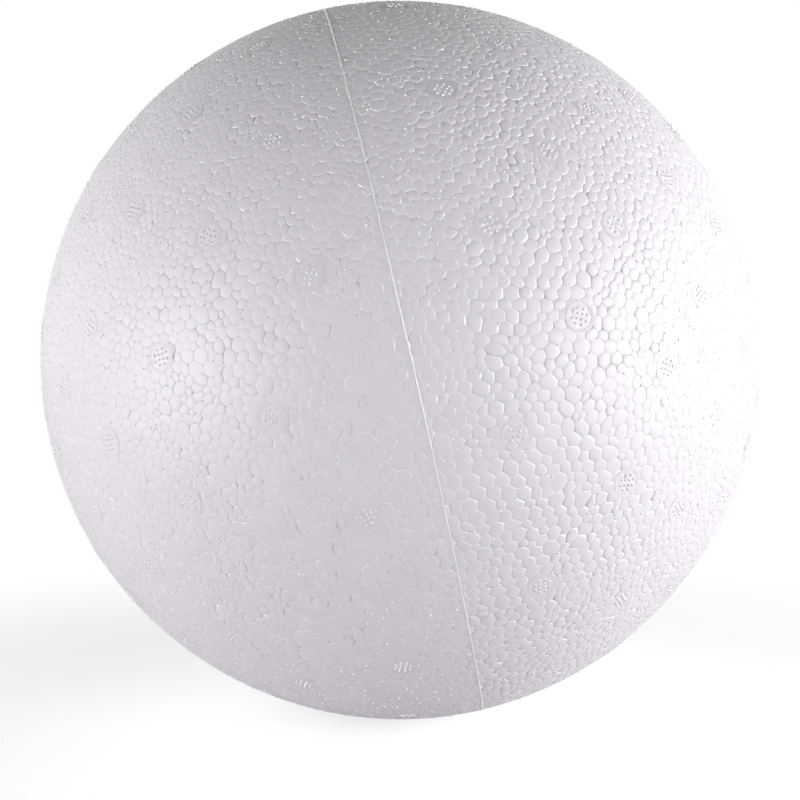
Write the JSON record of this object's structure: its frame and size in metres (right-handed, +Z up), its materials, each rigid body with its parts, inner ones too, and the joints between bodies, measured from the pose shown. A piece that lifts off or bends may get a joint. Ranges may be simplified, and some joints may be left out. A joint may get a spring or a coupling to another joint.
{
  "type": "polystyrene ball",
  "caption": "Solid craft ball of moulded white polystyrene foam beads, with a fine mould flash and round vent marks; a base for decorating, modelling and display.",
  "frame": {"origin": "centre of the ball", "axes": "+Z up as the ball is held in the picture, -Y towards the viewer; the mould's axis lies in the XZ plane, 12.65 degrees above +X, so the flash lies in the plane square to it, which holds the Y axis"},
  "size_m": [0.3, 0.3004, 0.3003],
  "materials": {
    "moulded_foam": "white expanded polystyrene, half-glossy moulded skin of flattened beads"
  },
  "bodies": {
    "root": {"ball": "moulded_foam"}
  },
  "joints": []
}
